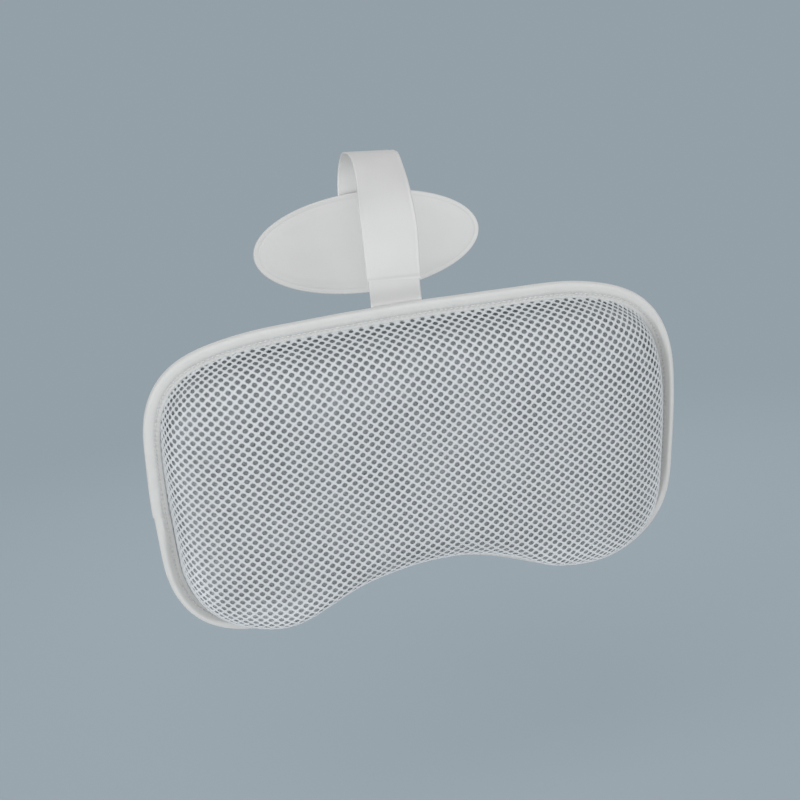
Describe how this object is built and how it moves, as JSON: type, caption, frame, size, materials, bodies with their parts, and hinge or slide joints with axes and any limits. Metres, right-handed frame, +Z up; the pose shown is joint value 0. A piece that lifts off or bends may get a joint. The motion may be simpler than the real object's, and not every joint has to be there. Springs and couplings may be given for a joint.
{
  "type": "bath pillow",
  "caption": "Net-covered bath pillow with a bound edge and a neck notch, hung over a tub rim by a soft folded strap that ends in a weighted oval pad.",
  "frame": {"origin": "under the strap's crown, in the middle of its level stretch, on the strip's centre line, where the tub's rim carries it", "axes": "+X to the right seen from the front, +Y out of the tub towards the pad, +Z up"},
  "size_m": [0.3226, 0.097, 0.2753],
  "materials": {
    "net_cloth": "matte",
    "foam": "matte",
    "back_cloth": "matte",
    "tape": "matte",
    "thread": "matte",
    "soft_pvc": "satin",
    "steel": "matte"
  },
  "bodies": {
    "crown": {"strap_crown": "soft_pvc", "strap_front_fold": "soft_pvc"},
    "front_leg": {"strap_front_leg": "soft_pvc", "tab_lap": "soft_pvc", "tab_fold": "soft_pvc"},
    "cushion": {"front_mesh_cover": "net_cloth", "foam_core": "foam", "back_panel": "back_cloth", "edge_binding": "tape", "binding_top_thread": "thread", "binding_under_thread": "thread", "tab_sewn_end": "soft_pvc", "tab_stitch": "thread"},
    "pad": {"strap_rear_fold": "soft_pvc", "strap_tail": "soft_pvc", "pocket_front_sheet": "soft_pvc", "pocket_back_sheet": "soft_pvc", "counterweight_plate": "steel"}
  },
  "joints": [
    {"name": "front_leg_swing", "type": "hinge", "parent": "crown", "child": "front_leg", "pos_m": [0, -0.0241, -0.0234], "axis": [1, 0, 0], "range_deg": [-75, 10], "deforming": ["strap_front_fold"]},
    {"name": "cushion_swing", "type": "hinge", "parent": "front_leg", "child": "cushion", "pos_m": [0, -0.0226, -0.0794], "axis": [1, 0, 0], "range_deg": [-85, 25], "deforming": ["tab_fold"]},
    {"name": "pad_swing", "type": "hinge", "parent": "crown", "child": "pad", "pos_m": [0, 0.0387, -0.0204], "axis": [1, 0, 0], "range_deg": [-15, 60], "deforming": ["strap_rear_fold"]}
  ]
}
